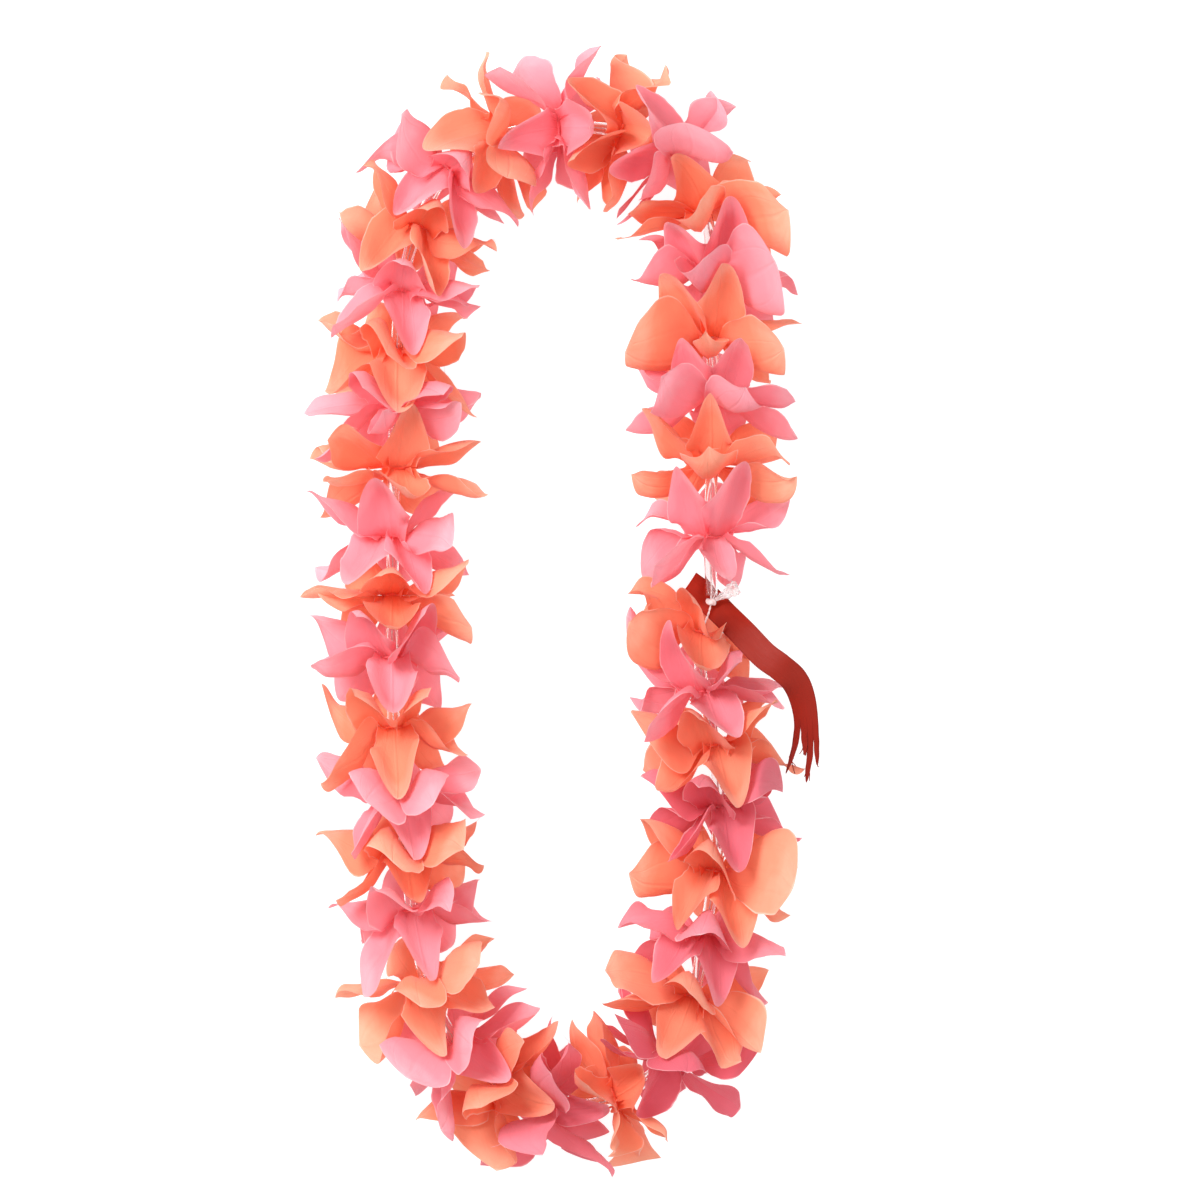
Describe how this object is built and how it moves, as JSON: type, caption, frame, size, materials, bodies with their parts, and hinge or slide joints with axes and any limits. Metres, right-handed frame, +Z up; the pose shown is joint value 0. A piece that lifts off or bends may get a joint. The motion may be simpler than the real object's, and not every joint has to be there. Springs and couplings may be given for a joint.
{
  "type": "artificial flower lei",
  "caption": "Lei of cloth blooms in alternating pink and orange on a loop of thread with clear spacer tubes, laid flat in a long oval, with a short red ribbon tied at its knot.",
  "frame": {"origin": "on the surface it lies on, under the middle of its bounding box", "axes": "+Z up from the surface, +Y along the long way of the oval, towards the end that is at the top in the picture, +X towards the side with the knot and ribbon"},
  "size_m": [0.27, 0.5908, 0.0762],
  "materials": {
    "pink_cloth": "satin cloth with a faint weave, a little see-through",
    "orange_cloth": "satin cloth with a faint weave, a little see-through",
    "clear_plastic": "clear, glossy",
    "red_ribbon": "satin"
  },
  "bodies": {
    "root": {"bloom_01_pink": "pink_cloth", "bloom_02_orange": "orange_cloth", "bloom_03_pink": "pink_cloth", "bloom_04_orange": "orange_cloth", "bloom_05_pink": "pink_cloth", "bloom_06_orange": "orange_cloth", "bloom_07_pink": "pink_cloth", "bloom_08_orange": "orange_cloth", "bloom_09_pink": "pink_cloth", "bloom_10_orange": "orange_cloth", "bloom_11_pink": "pink_cloth", "bloom_12_orange": "orange_cloth", "bloom_13_pink": "pink_cloth", "bloom_14_orange": "orange_cloth", "bloom_15_pink": "pink_cloth", "bloom_16_orange": "orange_cloth", "bloom_17_pink": "pink_cloth", "bloom_18_orange": "orange_cloth", "bloom_19_pink": "pink_cloth", "bloom_20_orange": "orange_cloth", "bloom_21_pink": "pink_cloth", "bloom_22_orange": "orange_cloth", "bloom_23_pink": "pink_cloth", "bloom_24_orange": "orange_cloth", "bloom_25_pink": "pink_cloth", "bloom_26_orange": "orange_cloth", "bloom_27_pink": "pink_cloth", "bloom_28_orange": "orange_cloth", "bloom_29_pink": "pink_cloth", "bloom_30_orange": "orange_cloth", "bloom_31_pink": "pink_cloth", "bloom_32_orange": "orange_cloth", "bloom_33_pink": "pink_cloth", "bloom_34_orange": "orange_cloth", "bloom_35_pink": "pink_cloth", "bloom_36_orange": "orange_cloth", "strand": "clear_plastic", "ribbon": "red_ribbon", "knot_film": "clear_plastic"}
  },
  "joints": []
}
